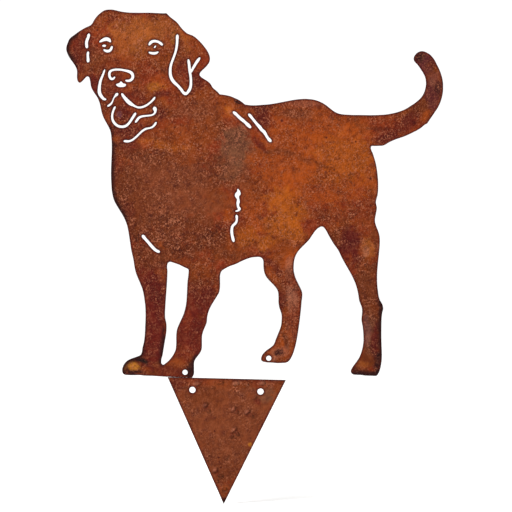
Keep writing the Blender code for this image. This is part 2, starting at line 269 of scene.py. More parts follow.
def edge_rings(outline, thickest, lowest, highest, seed):
    """The points of a cut edge, one ring for each line of it from the front face to the back,
    and how far each point is from the cut."""
    directions = into_sheet(outline)
    widest = safe_insets(outline, directions, ARRIS_WIDTH - thickest)
    growth = growths(outline, directions, thickest)
    points, from_edge = [], []
    for depth, inset in ARRIS_AND_WALL:
        share = inset / ARRIS_WIDTH
        # The ridges run through the sheet from face to face, leaning a little
        drag = Vector((depth * RIDGE_LEAN[0], depth * RIDGE_LEAN[1]))
        for index, (point, direction) in enumerate(zip(outline, directions)):
            lean = point * RIDGES_PER_MM + drag
            ridge = max(noise.noise((lean.x, lean.y, seed)) + 0.6, 0.0)
            wall = RIDGE_DEPTH * ridge if inset < WALL_REACH else 0.0
            off = growth[index] * (1.0 - share)
            x, z = point + direction * (share * widest[index] + wall - off)
            x = min(max(x * MM, lowest.x), highest.x)
            z = min(max(z * MM, lowest.z), highest.z)
            points.append((x, (depth - HALF_SHEET) * MM, z))
            from_edge.append(share * widest[index])
    return points, from_edge


def face_net(rims, verts, side, grain, seed):
    """The points strewn over a face, with how far each is from a rim, and the triangles that
    join them to each other and to the rims."""
    flat = [[Vector((verts[i][0] / MM, verts[i][2] / MM)) for i in rim] for rim in rims]
    inner = face_points(flat, grain, seed + side)
    owner = [i for rim in rims for i in rim]
    owner += range(len(verts), len(verts) + len(inner))
    edges, first = [], 0
    for rim in rims:
        edges += [(first + k, first + (k + 1) % len(rim)) for k in range(len(rim))]
        first += len(rim)
    spots = [p for rim in flat for p in rim] + [p for p, _ in inner]
    net = delaunay_2d_cdt(spots, edges, [], 1, 1e-7)
    if any(len(source) != 1 for source in net[3]):
        raise ValueError("two cut edges cross")
    back_to = [owner[source[0]] for source in net[3]]
    triangles = []
    for face in net[2]:
        corners = [back_to[k] for k in face]
        if not in_opening(corners, rims, verts):
            triangles.append(corners if side < 0 else corners[::-1])
    return inner, triangles


def plate_mesh(name, node, seed):
    """A plate with rounded arrises, ridged cut walls and finely divided faces. Its attribute
    edge_mm says how far a point is from the nearest cut."""
    lowest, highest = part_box(node)
    outlines = [smoothed(outline, WALL_STEP) for outline in cut_outlines(node)]
    outlines.sort(key=len, reverse=True)
    verts, faces, from_edge = [], [], []
    front_rims, back_rims = [], []
    for outline in outlines:
        thickest = CRUST_ROUND if outline is outlines[0] else CRUST_IN_SLOTS
        start, count = len(verts), len(outline)
        points, distances = edge_rings(outline, thickest, lowest, highest, seed)
        verts += points
        from_edge += distances
        for ring in range(len(ARRIS_AND_WALL) - 1):
            for index in range(count):
                a = start + ring * count + index
                b = start + ring * count + (index + 1) % count
                faces.append((b, a, a + count, b + count))
        front_rims.append(range(start, start + count))
        back_rims.append(range(len(verts) - count, len(verts)))
    for rims, side, grain in ((front_rims, -1, FRONT_GRAIN), (back_rims, 1, BACK_GRAIN)):
        inner, triangles = face_net(rims, verts, side, grain, seed)
        verts += [(p.x * MM, side * HALF_SHEET * MM, p.y * MM) for p, _ in inner]
        from_edge += [distance + ARRIS_WIDTH for _, distance in inner]
        faces += triangles
    mesh = bpy.data.meshes.new(name)
    mesh.from_pydata(verts, [], faces)
    mesh.attributes.new("edge_mm", "FLOAT", "POINT").data.foreach_set("value", from_edge)
    mesh.shade_smooth()
    piece = bpy.data.objects.new(name, mesh)
    bpy.context.scene.collection.objects.link(piece)
    return piece


def add(tree, kind, inputs=(), **settings):
    """Adds a node with its settings, and sets or links its inputs. MapRange takes its value,
    from low, from high, to low and to high as inputs 0 to 4."""
    item = tree.nodes.new(kind)
    for key, value in settings.items():
        setattr(item, key, value)
    for key, value in dict(inputs).items():
        if isinstance(value, bpy.types.NodeSocket):
            tree.links.new(value, item.inputs[key])
        else:
            item.inputs[key].default_value = value
    return item


def crust_tree():
    """Sinks the sheet's faces a little and unevenly under their crust, and leaves round
    blisters of rust standing in it, in clusters, and the lumps that painted() places."""
    tree = bpy.data.node_groups.new("rust_crust", "GeometryNodeTree")
    face = tree.interface
    face.new_socket("Geometry", in_out="INPUT", socket_type="NodeSocketGeometry")
    for label, value in (
        ("Crust depth", 0.00015), ("Crust size", 0.006), ("Blister height", 0.00030),
        ("Blister spacing", BLISTER_SPACING * MM), ("Seed", 1.0),
    ):
        socket = face.new_socket(label, in_out="INPUT", socket_type="NodeSocketFloat")
        socket.default_value = value
    face.new_socket("Finish", in_out="INPUT", socket_type="NodeSocketMaterial")
    face.new_socket("Geometry", in_out="OUTPUT", socket_type="NodeSocketGeometry")
    given = add(tree, "NodeGroupInput").outputs
    spot = add(tree, "GeometryNodeInputPosition").outputs[0]

    def maths(operation, a, b=0.0):
        return add(tree, "ShaderNodeMath", {0: a, 1: b}, operation=operation).outputs[0]

    # Clouds of thicker and thinner crust
    crust = add(tree, "ShaderNodeTexNoise", {
        "Vector": spot, "W": given["Seed"], "Detail": 2.0,
        "Scale": maths("DIVIDE", 1.0, given["Crust size"]),
    }, noise_dimensions="4D").outputs[0]
    # Round domes, which stand high only inside the clusters
    reach = add(tree, "ShaderNodeTexVoronoi", {
        "Vector": spot, "W": given["Seed"],
        "Scale": maths("DIVIDE", 1.0, given["Blister spacing"]),
    }, voronoi_dimensions="4D", feature="F1").outputs["Distance"]
    dome = add(tree, "ShaderNodeMapRange", {0: reach, 1: 0.55, 2: 0.1, 3: 0.0, 4: 1.0},
               interpolation_type="SMOOTHSTEP").outputs[0]
    gathered = add(tree, "ShaderNodeTexNoise", {
        "Vector": spot, "W": maths("ADD", given["Seed"], 0.7), "Detail": 2.0,
        "Scale": 1.0 / (CLUSTER_SPACING * MM), "Roughness": 0.5,
    }, noise_dimensions="4D").outputs[0]
    cluster = add(tree, "ShaderNodeMapRange", {0: gathered, 1: 0.45, 2: 0.6, 3: 0.1, 4: 1.0},
                  interpolation_type="SMOOTHSTEP").outputs[0]
    lump = add(tree, "GeometryNodeInputNamedAttribute", {"Name": "lump"},
               data_type="FLOAT").outputs[0]
    blister = maths("MAXIMUM", maths("MULTIPLY", dome, cluster), lump)
    sunk = maths("SUBTRACT", maths("MULTIPLY", crust, given["Crust depth"]),
                 maths("MULTIPLY", blister, given["Blister height"]))
    depth = maths("MAXIMUM", maths("ADD", sunk, given["Blister height"]), 0.0)
    # No relief at the arris, and the whole of it from 2.5 mm inside the cut
    from_edge = add(tree, "GeometryNodeInputNamedAttribute", {"Name": "edge_mm"},
                    data_type="FLOAT").outputs[0]
    fade = add(tree, "ShaderNodeMapRange", {0: from_edge, 1: 0.5, 2: 2.5, 3: 0.0, 4: 1.0},
               interpolation_type="SMOOTHSTEP").outputs[0]
    side = maths("SIGN", add(tree, "ShaderNodeSeparateXYZ", {0: spot}).outputs[1])
    inward = maths("MULTIPLY", maths("MULTIPLY", depth, fade), maths("MULTIPLY", side, -1.0))
    shift = add(tree, "ShaderNodeCombineXYZ", {1: inward}).outputs[0]
    moved = add(tree, "GeometryNodeSetPosition", {"Geometry": given["Geometry"],
                                                  "Offset": shift}).outputs[0]
    real = add(tree, "GeometryNodeRealizeInstances", {"Geometry": moved}).outputs[0]
    coated = add(tree, "GeometryNodeSetMaterial", {"Geometry": real,
                                                   "Material": given["Finish"]}).outputs[0]
    add(tree, "NodeGroupOutput", {"Geometry": coated})
    return tree


def crusted(piece, tree, finish, values):
    """Gives a plate its crust, then keeps the result as a plain mesh."""
    modifier = piece.modifiers.new("rust_crust", "NODES")
    modifier.node_group = tree
    for item in tree.interface.items_tree:
        if item.item_type == "SOCKET" and item.in_out == "INPUT":
            if item.name in values:
                modifier[item.identifier] = values[item.name]
            elif item.name == "Finish":
                modifier[item.identifier] = finish
            elif item.name != "Geometry":
                modifier[item.identifier] = item.default_value
    bpy.context.view_layer.update()
    evaluated = piece.evaluated_get(bpy.context.evaluated_depsgraph_get())
    result = bpy.data.meshes.new_from_object(evaluated)
    piece.modifiers.clear()
    flat = piece.data
    piece.data = result
    result.name = piece.name
    bpy.data.meshes.remove(flat)


def linear(code):
    """An sRGB hex colour as linear red, green, blue and alpha."""
    parts = [int(code[k:k + 2], 16) / 255 for k in (1, 3, 5)]
    return tuple(
        v / 12.92 if v <= 0.04045 else ((v + 0.055) / 1.055) ** 2.4 for v in parts
    ) + (1.0,)


# Rust's colours as this studio shows them, from fresh orange bloom to old black scale
RUST = {
    "orange": "#A24C20", "bright": "#AE5A22", "gold": "#B8742F", "amber": "#A2592E",
    "salmon": "#B8745A", "russet": "#8C4423", "red": "#86391F", "oxblood": "#642A1C",
    "maroon": "#5C2820", "mauve": "#7A4C54", "brown": "#7C432E", "umber": "#6C3824",
    "olive": "#784E3A", "dark": "#351818", "black": "#140C10", "grain": "#481008",
    "dust": "#C4795A",
}
# How much the lights brighten a colour, what the dull sheen adds, and the blackest scale
STUDIO_GAIN = 1.57
SHEEN = 0.017
BLACKEST = 0.0012


def rust(tone):
    """The colour that the oxide itself has, for it to look like a tone in the studio."""
    own = [max((v - SHEEN) / STUDIO_GAIN, BLACKEST) for v in linear(RUST[tone])[:3]]
    return (*own, 1.0)


def painted(piece, seed, patches, gritty, scorched, lumps=()):
    """Lays the rust's patches on a plate's points, each over the ones before it. Some patches are
    painted highlights and painted shade on lumps. A patch is a tone, its centre, half sizes and
    turn seen from the front in millimetres and degrees, and a strength. In gritty, scorched and
    lumps, how gritty, burnt or raised it is takes the tone's place."""
    mesh = piece.data
    place = np.empty(len(mesh.vertices) * 3)
    mesh.vertices.foreach_get("co", place)
    place = place.reshape(-1, 3) / MM
    lift = Vector((0.0, 0.0, seed * 7.0))
    # The patches wander over tens of millimetres, and their rims are ragged over a few
    wander, ragged = np.empty((len(place), 2)), np.empty(len(place))
    for index, (x, _, z) in enumerate(place):
        flat = Vector((x, z, 0.0))
        drift = noise.noise_vector(flat / 31 + lift) * 5.0
        drift += noise.noise_vector(flat / 11 + lift) * 2.5
        wander[index] = drift.x, drift.y
        ragged[index] = noise.noise(flat / 7 - lift) + noise.noise(flat / 3 + lift) * 0.7

    def cover(x, z, half_x, half_z, turn, strength):
        """How strongly a patch covers each point: in full inside, and ragged at its rim."""
        # Patches less than 12 mm in half size wander less, by as much as they are smaller
        loose = min(1.0, min(half_x, half_z) / 12)
        across = place[:, 0] + wander[:, 0] * loose - x
        up = place[:, 2] + wander[:, 1] * loose - z
        c, s = math.cos(math.radians(turn)), math.sin(math.radians(turn))
        far = np.hypot((across * c + up * s) / half_x, (up * c - across * s) / half_z)
        share = np.clip((1.3 - far - ragged * 0.45) / 0.7, 0.0, 1.0)
        return share * share * (3.0 - 2.0 * share) * strength

    tint, opacity = np.zeros((len(place), 3)), np.zeros(len(place))
    for tone, *where in patches:
        share = cover(*where)
        tint += (np.array(rust(tone)[:3]) - tint) * share[:, None]
        opacity += (1.0 - opacity) * share
    tint /= np.maximum(opacity, 0.001)[:, None]
    patina = mesh.attributes.new("patina", "FLOAT_COLOR", "POINT")
    patina.data.foreach_set("color", np.column_stack((tint, opacity)).ravel())
    for name, usual, spread in (("grit", 0.6, gritty), ("scorch", 0.0, scorched),
                                ("lump", 0.0, lumps)):
        level = np.full(len(place), usual)
        for amount, *where in spread:
            level += (amount - level) * cover(*where)
        mesh.attributes.new(name, "FLOAT", "POINT").data.foreach_set("value", level)


def rusted_steel(name, seed, ground):
    """Mild steel left to rust outdoors: a dry, matt oxide crust that runs from orange bloom to
    nearly black scale, gritty in places and smooth in others, and darkest where the beam burnt
    the edge. Its pale flecks are partly painted highlight, and its blisters' dark cores and the
    thin dark rim along the cuts partly painted shade. The front has its painted patches. The
    back has the ground tones alone."""
    material = bpy.data.materials.new(name)
    material.use_nodes = True
    tree = material.node_tree
    shader = tree.nodes["Principled BSDF"]
    place = add(tree, "ShaderNodeTexCoord").outputs["Object"]
    mm = add(tree, "ShaderNodeVectorMath", {0: place, "Scale": 1.0 / MM},
             operation="SCALE").outputs[0]

    def cloud(size, detail=3.0, rough=0.55, step=0.0):
        """Noise of a size in millimetres. The step sets one cloud apart from the others."""
        return add(tree, "ShaderNodeTexNoise", {
            "Vector": mm, "W": seed + step, "Scale": 1.0 / size, "Detail": detail,
            "Roughness": rough,
        }, noise_dimensions="4D").outputs

    def span(value, low, high, to_low=0.0, to_high=1.0, kind="SMOOTHSTEP"):
        """A value brought from one range into another, and kept inside it."""
        return add(tree, "ShaderNodeMapRange", {0: value, 1: low, 2: high, 3: to_low, 4: to_high},
                   interpolation_type=kind).outputs[0]

    def maths(operation, a, b, c=0.0):
        return add(tree, "ShaderNodeMath", {0: a, 1: b, 2: c}, operation=operation).outputs[0]

    def over(under, tone, amount):
        """A tone of rust, or another colour, laid over a colour by an amount."""
        top = rust(tone) if isinstance(tone, str) else tone
        return add(tree, "ShaderNodeMix", {0: amount, 6: under, 7: top},
                   data_type="RGBA").outputs[2]

    # The back's ground tones, and over them the front's patches
    mottle = cloud(7.0, 4.0, 0.65, 0.2)[0]
    back = over(rust(ground[0]), ground[1], span(cloud(40.0, 4.0, 0.6, 0.3)[0], 0.42, 0.6))
    back = over(back, ground[2], span(cloud(22.0, 4.0, 0.6, 0.4)[0], 0.5, 0.66, 0.0, 0.7))
    patina = add(tree, "ShaderNodeAttribute", attribute_name="patina").outputs
    depth = add(tree, "ShaderNodeSeparateXYZ", {0: mm}).outputs[1]
    shown = maths("MULTIPLY", patina["Alpha"], span(depth, 0.4, -0.9))
    colour = over(back, patina["Color"], shown)

    # Mottling, then grains, crystals and pale flecks wherever the crust is gritty. The pale tone
    # is partly dust and partly a painted highlight on the lit sides of blisters
    grit = maths("ADD", span(cloud(26.0, 3.0, 0.6, 0.5)[0], 0.35, 0.65, -0.3, 0.3),
                 add(tree, "ShaderNodeAttribute", attribute_name="grit").outputs["Fac"])
    colour = over(colour, "grain", span(mottle, 0.5, 0.7, 0.0, 0.5, "LINEAR"))
    colour = over(colour, "dust", span(mottle, 0.5, 0.3, 0.0, 0.14, "LINEAR"))
    # Grains of 1 to 2 mm: the real ones run finer, down to what the eye can't part
    grain = cloud(2.2, 3.0, 0.9, 0.6)[0]
    crystal = add(tree, "ShaderNodeTexVoronoi", {"Vector": mm, "W": seed, "Scale": 1.0 / 1.7},
                  voronoi_dimensions="4D", feature="F1").outputs
    lot = add(tree, "ShaderNodeSeparateColor", {0: crystal["Color"]}).outputs[0]
    highlight_and_dust_fleck = maths("MULTIPLY", span(cloud(1.8, 2.0, 0.8, 0.9)[0], 0.51, 0.61, 0.0, 0.9, "LINEAR"),
                  span(cloud(9.0, 2.0, 0.6, 1.1)[0], 0.4, 0.6, 0.35, 1.0))
    speckle = span(grain, 0.5, 0.62, 0.0, 0.7, "LINEAR")
    dark_crystals = span(lot, 0.7, 1.0, 0.0, 0.5, "LINEAR")
    colour = over(colour, "grain", maths("MULTIPLY", grit, speckle))
    colour = over(colour, "grain", maths("MULTIPLY", grit, dark_crystals))
    # Pale flecks: partly dust, partly a painted highlight that stands for the blisters' lit sides
    colour = over(colour, "dust", maths("MULTIPLY", grit, highlight_and_dust_fleck))
    # Dark cores of the blisters, partly painted shade that stands for the blisters' shaded sides
    reach = add(tree, "ShaderNodeTexVoronoi", {"Vector": mm, "W": seed,
                                               "Scale": 1.0 / BLISTER_SPACING},
                voronoi_dimensions="4D", feature="F1").outputs["Distance"]
    clustered = span(cloud(CLUSTER_SPACING, 2.0, 0.5, 0.7)[0], 0.5, 0.62)
    core = span(maths("MULTIPLY_ADD", mottle, 0.8, reach), 0.72, 0.5, 0.0, 0.8)
    colour = over(colour, "grain", maths("MULTIPLY", core, clustered))

    # The edge: reddened by the beam, darker still where it scorched the sheet, and a thin dark
    # rim that is part oxide, part painted edge shade
    from_edge = add(tree, "ShaderNodeAttribute", attribute_name="edge_mm").outputs["Fac"]
    uneven = maths("MULTIPLY_ADD", cloud(9.0, 3.0, 0.6, 0.8)[0], -2.6, from_edge)
    scorch = add(tree, "ShaderNodeAttribute", attribute_name="scorch").outputs["Fac"]
    colour = over(colour, "maroon", span(uneven, 2.0, -0.6, 0.0, 0.6))
    colour = over(colour, "dark", maths("MULTIPLY", scorch, span(uneven, 5.5, 0.0, 0.0, 0.9)))
    # Thin dark rim along every cut: partly the cut's darker oxide, partly painted shade of the
    # edge
    colour = over(colour, "dark", span(uneven, 0.3, -1.4, 0.0, 0.6))
    tree.links.new(colour, shader.inputs["Base Color"])

    # A dull, nearly sheenless surface whose relief comes from the same lumps and grains
    shader.inputs["Metallic"].default_value = 0.0
    shader.inputs["Specular IOR Level"].default_value = 0.1
    tree.links.new(span(mottle, 0.35, 0.65, 0.95, 0.8), shader.inputs["Roughness"])
    rough = maths("MULTIPLY", grit, maths("MULTIPLY_ADD", crystal["Distance"], -0.5, grain))
    lump = add(tree, "ShaderNodeAttribute", attribute_name="lump").outputs["Fac"]
    height = maths("ADD", lump, maths("ADD", mottle, rough))
    relief = add(tree, "ShaderNodeBump", {"Strength": 1.0, "Distance": 0.0035, "Height": height})
    tree.links.new(relief.outputs[0], shader.inputs["Normal"])
    return material


dog = plate_mesh("dog_plate", "dog_silhouette", 3.0)
painted(dog, 1.0, [
    # Chest, neck and flank, broadly
    ("brown", -68, 206, 68, 53, 0, 0.95), ("orange", 103, 239, 68, 55, -10, 0.9),
    # Head
    ("amber", -103, 376, 33, 20, 0, 0.85), ("amber", -76, 383, 31, 15, 0, 0.7),
    ("umber", -138, 343, 11, 13, 0, 0.6), ("maroon", -161, 366, 14, 22, 0, 0.65),
    ("umber", -158, 335, 9, 9, 0, 0.6), ("maroon", -169, 341, 9, 11, 0, 0.9),
    ("umber", -126, 345, 18, 5.5, 0, 0.55), ("russet", -117, 368, 11, 8, 0, 0.35),
    ("bright", -92, 354, 13, 5.5, 15, 0.4), ("russet", -73, 350, 12, 7, 0, 0.7),
    ("umber", -150, 352, 11, 14, 0, 0.55), ("maroon", -148, 321, 9, 15, 0, 0.95),
    ("gold", -59, 375, 3, 7, 0, 0.6), ("red", -120, 345, 26, 5.5, 0, 0.5),
    ("orange", -73, 324, 15, 8, 0, 0.5), ("gold", -79, 321, 10, 5.5, 0, 0.4),
    ("maroon", -126, 321, 13, 14, 0, 0.6), ("maroon", -102, 309, 13, 10, 0, 0.5),
    ("maroon", -73, 313, 10, 3.5, 0, 0.8), ("russet", -89, 292, 9, 4.5, 0, 0.6),
    ("maroon", -115, 291, 10, 9, 0, 0.8), ("mauve", -119, 290, 3, 3.5, 0, 0.8),
    ("umber", -134, 303, 5.5, 14, 0, 0.6), ("maroon", -72, 291, 9, 7, 0, 0.7),
    ("maroon", -49, 339, 8, 13, 0, 0.45), ("maroon", -36, 325, 9, 13, 0, 0.75),
    ("russet", -34, 365, 10, 13, 0, 0.5), ("amber", -45, 367, 4.5, 12, 0, 0.5),
    ("red", -65, 372, 5.5, 15, -10, 0.3),
    # Neck and chest
    ("maroon", -113, 272, 18, 10, 0, 0.8), ("brown", -35, 292, 26, 13, 0, 0.7),
    ("bright", -71, 256, 28, 6, -6, 0.8), ("orange", -47, 260, 20, 8, 0, 0.7),
    ("russet", -46, 261, 37, 13, 0, 0.5), ("russet", -46, 270, 33, 7, 0, 0.5),
    ("bright", -56, 252, 18, 4.5, 0, 0.45), ("red", -89, 255, 8, 4.5, 0, 0.6),
    ("maroon", -111, 255, 14, 9, 0, 0.7), ("umber", -104, 247, 20, 5.5, 0, 0.6),
    ("umber", -73, 238, 20, 10, 0, 0.5), ("russet", -40, 242, 29, 9, 0, 0.6),
    ("olive", 12, 253, 18, 26, 10, 0.95), ("olive", 4, 231, 13, 18, 0, 0.6),
    ("orange", 28, 239, 10, 10, 0, 0.7), ("umber", -12, 234, 11, 20, 0, 0.4),
    ("umber", -12, 206, 11, 11, 0, 0.5), ("orange", 7, 288, 12, 9, 0, 0.7),
    ("bright", 4, 292, 8, 5, -40, 0.9), ("salmon", 6, 290, 5.5, 3.5, -40, 0.4),
    ("salmon", 10, 287, 4.5, 3, -40, 0.6), ("salmon", 18, 276, 5.5, 3, -40, 0.5),
    ("red", 5, 280, 10, 7, 0, 0.6), ("umber", -121, 220, 11, 44, 0, 0.85),
    ("maroon", -124, 212, 5.5, 40, 0, 0.5), ("red", -117, 235, 5.5, 13, 0, 0.4),
    ("umber", -106, 195, 20, 37, 0, 0.8), ("maroon", -111, 179, 11, 13, 0, 0.5),
    ("umber", -87, 165, 24, 18, 0, 0.7), ("umber", -32, 165, 24, 15, 0, 0.7),
    ("umber", -54, 140, 31, 11, 0, 0.85), ("brown", -62, 156, 13, 9, 0, 0.6),
    ("umber", -16, 148, 18, 13, 0, 0.8), ("umber", 8, 134, 22, 5.5, 0, 0.65),
    ("orange", 1, 178, 6, 8, 0, 0.9),
    # Back and flank
    ("russet", 30, 211, 13, 15, 0, 0.6), ("brown", 19, 215, 7, 22, 0, 0.5),
    ("maroon", 39, 285, 10, 14, 0, 0.85), ("maroon", 32, 299, 17, 4.5, 0, 0.8),
    ("red", 89, 302, 29, 5.5, 0, 0.6), ("salmon", 87, 302, 22, 4, 0, 0.3),
    ("brown", 78, 291, 19, 5.5, 0, 0.7), ("umber", 85, 283, 18, 2, 0, 0.35),
    ("orange", 72, 271, 17, 8, 0, 0.85), ("orange", 116, 267, 33, 15, 0, 0.7),
    ("bright", 130, 242, 35, 24, 0, 0.6), ("bright", 100, 211, 26, 15, 0, 0.5),
    ("red", 174, 282, 22, 8, 0, 0.6), ("salmon", 48, 260, 4.5, 3.5, 0, 0.5),
    ("maroon", 37, 256, 13, 3.5, -48, 0.6), ("umber", 59, 247, 17, 4, -5, 0.8),
    ("umber", 93, 237, 22, 3.5, -20, 0.65), ("orange", 64, 228, 31, 15, 0, 0.8),
    ("orange", 81, 206, 31, 20, 0, 0.9), ("bright", 62, 192, 18, 15, 0, 0.85),
    ("bright", 83, 181, 11, 10, 0, 0.5), ("bright", 50, 169, 13, 13, 0, 0.8),
    ("orange", 26, 165, 15, 12, 0, 0.9), ("orange", 30, 184, 13, 9, 20, 0.9),
    ("maroon", 17, 170, 4, 8, 15, 0.4), ("bright", 22, 155, 14, 9, 0, 0.7),
    ("bright", 67, 169, 15, 19, 20, 1),
    ("bright", 42, 148, 10, 9, 0, 0.85), ("red", 105, 206, 20, 11, 0, 0.5),
    ("red", 100, 188, 12, 9, 0, 0.6), ("orange", 105, 200, 13, 8, 0, 0.4),
    ("umber", 140, 178, 22, 7, 0, 0.2), ("umber", 105, 178, 13, 7, 0, 0.4),
    # Hind legs
    ("maroon", 135, 148, 15, 19, -25, 1), ("umber", 118, 151, 8, 9, -30, 0.7),
    ("umber", 164, 154, 4.5, 14, 0, 0.8), ("maroon", 143, 127, 8, 14, -10, 0.85),
    ("amber", 157, 142, 6, 12, 0, 0.95), ("salmon", 154, 139, 3.5, 7, 0, 0.5),
    ("salmon", 168, 144, 2, 5.5, 0, 0.6), ("umber", 160, 121, 7, 5.5, 0, 1),
    ("red", 139, 116, 4, 9, -20, 0.8), ("umber", 155, 98, 18, 24, 0, 0.9),
    ("brown", 150, 103, 5.5, 10, 0, 0.6), ("umber", 154, 70, 19, 28, 0, 0.95),
    ("umber", 153, 44, 17, 35, 0, 1), ("brown", 152, 48, 7, 20, 0, 0.8),
    ("olive", 157, 50, 8, 20, 0, 0.85), ("mauve", 154, 52, 5.5, 18, 0, 0.3),
    ("maroon", 164, 36, 5, 24, 0, 0.9), ("dark", 165, 17, 5.5, 13, 0, 0.6),
    ("umber", 148, 81, 4.5, 5.5, 0, 0.7), ("dark", 171, 80, 3.5, 7, 0, 0.7),
    ("dark", 151, 5, 13, 4, 0, 0.8), ("dark", 143, 8, 7, 5.5, 0, 0.5),
    ("dark", 156, 28, 6, 10, 0, 0.25), ("dark", 165, 13, 5.5, 10, 0, 0.85),
    ("umber", 150, 17, 12, 9, 0, 0.9), ("amber", 149, 15, 8, 3.5, -10, 0.5),
    ("maroon", 51, 122, 15, 4.5, -45, 0.6), ("orange", 71, 131, 8, 13, -38, 0.8),
    ("orange", 49, 116, 4, 10, 30, 0.5), ("red", 69, 102, 9, 9, 0, 0.5),
    ("salmon", 70, 121, 7, 10, 0, 0.45), ("brown", 65, 94, 9, 9, 0, 0.5),
    ("salmon", 72, 93, 8, 10, 0, 0.5), ("maroon", 59, 84, 6, 12, 0, 0.75),
    ("salmon", 71, 81, 7, 15, 0, 0.5), ("salmon", 69, 52, 7, 15, -5, 0.35),
    ("red", 73, 61, 9, 20, -5, 0.7), ("orange", 64, 40, 8, 17, 12, 0.7),
    ("umber", 65, 39, 3.5, 11, 12, 1), ("orange", 56, 28, 8, 5, 15, 0.8),
    ("salmon", 48, 20, 7, 3.5, 0, 0.35), ("salmon", 57, 28, 11, 6, 15, 0.45),
    ("dark", 56, 28, 6, 3.5, 15, 0.9), ("umber", 43, 26, 3.5, 5.5, 30, 0.7),
    # Front legs
    ("umber", -84, 52, 29, 66, 0, 0.9), ("umber", -89, 127, 29, 20, 0, 0.9),
    ("oxblood", -88, 103, 20, 22, 0, 0.8), ("umber", -34, 58, 33, 57, 0, 0.85),
    ("umber", -29, 110, 26, 13, 0, 0.7), ("russet", -28, 118, 13, 10, 0, 0.7),
    ("oxblood", -21, 83, 10, 24, 0, 0.85), ("oxblood", -84, 80, 22, 33, 0, 1),
    ("maroon", -84, 85, 10, 24, 0, 0.35), ("oxblood", -82, 38, 20, 31, 0, 1),
    ("maroon", -73, 47, 4.5, 29, 0, 0.6), ("oxblood", -38, 80, 15, 26, 0, 0.8),
    ("oxblood", -39, 47, 22, 31, 0, 0.9), ("red", -44, 63, 5.5, 13, 0, 0.4),
    ("umber", -65, 9, 40, 8, 0, 0.9), ("oxblood", -65, 7, 18, 7, 0, 0.6),
    ("oxblood", -92, 11, 12, 6, 0, 0.8), ("dark", -105, 9, 12, 9, 0, 0.9),
    ("black", -97, 21, 10, 3.5, -24, 1), ("gold", -104, 13, 9, 4.5, -10, 1),
    ("gold", -113, 12, 3.5, 4.5, 0, 0.6), ("russet", -91, 9, 5.5, 3, -10, 0.6),
    ("russet", -56, 15, 10, 4.5, 0, 0.6), ("red", -45, 25, 7, 9, 0, 0.5),
    ("dark", -39, 9, 4.5, 10, 0, 0.8),
    # Tail
    ("umber", 222, 318, 24, 50, 0, 0.9), ("red", 190, 272, 30, 14, 10, 0.6),
    ("umber", 166, 274, 15, 2, 0, 0.85), ("maroon", 175, 263, 15, 5.5, 10, 0.85),
    ("red", 169, 277, 11, 5.5, 0, 0.4), ("maroon", 173, 272, 13, 4.5, 0, 0.5),
    ("maroon", 203, 282, 12, 9, 35, 0.85), ("orange", 219, 288, 9, 3.5, 48, 0.7),
    ("oxblood", 193, 275, 13, 7, 25, 0.7), ("maroon", 218, 350, 12, 22, -20, 1),
    ("mauve", 217, 346, 9, 13, -20, 0.25), ("dark", 212, 353, 8, 7, 0, 0.75),
    ("maroon", 227, 310, 9, 15, 10, 0.7), ("mauve", 227, 317, 9, 26, 10, 0.2),
    ("umber", 224, 342, 7, 8, 0, 0.5), ("salmon", 226, 324, 3.5, 4.5, 0, 0.3),
    ("dark", 232, 319, 3.5, 7, 0, 0.6), ("dark", 208, 353, 7, 4.5, 0, 0.7),
    # Scorched spots along the top
    ("black", 12, 304, 4.5, 2, -25, 1), ("black", 43, 300, 5.5, 2, 5, 1),
    ("black", -68, 400, 5.5, 2, -10, 1), ("black", -141, 309, 2, 5.5, 25, 1),
], gritty=[
    (0.55, 118, 250, 60, 30, 0, 1), (1.0, -60, 160, 60, 22, 0, 0.9),
    (0.8, -40, 250, 60, 28, 0, 0.8), (1.0, 73, 75, 14, 45, 0, 0.9),
    (0.8, -62, 345, 34, 24, 0, 0.8), (0.75, 24, 155, 42, 16, 0, 0.6),
    (0.8, 128, 180, 34, 16, 0, 0.8), (0.3, -25, 195, 35, 24, 0, 0.9),
    (0.25, -45, 45, 60, 40, 0, 0.8), (0.3, 150, 45, 14, 60, 0, 0.8),
    (0.3, 60, 215, 22, 12, 0, 0.7), (0.35, 137, 145, 16, 22, -25, 0.8),
    (0.4, 215, 320, 40, 60, 0, 0.7),
], scorched=[
    (1, -173, 366, 9, 33, 0, 1), (1, -126, 217, 11, 55, 0, 0.9), (1, -117, 179, 11, 28, -25, 0.8),
    (1, -109, 22, 24, 22, 0, 1), (1, -71, 36, 5.5, 24, 0, 1), (1, -94, 52, 5.5, 44, 0, 0.8),
    (1, -36, 13, 9, 15, 0, 1), (1, 172, 52, 9, 50, 0, 1), (1, 153, 4, 22, 7, 0, 1),
])
dog_finish = rusted_steel("rusted_mild_steel_dog", 1.0, ("russet", "red", "umber"))
crust = crust_tree()
crusted(dog, crust, dog_finish, {"Seed": 1.0})
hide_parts("dog_silhouette")
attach(dog, "root")

# The ground stake.
# A triangle of the same laser-cut sheet, point down, with two bolt holes under its top edge.
# Its crust is browner, lumpier and more even than the dog's.

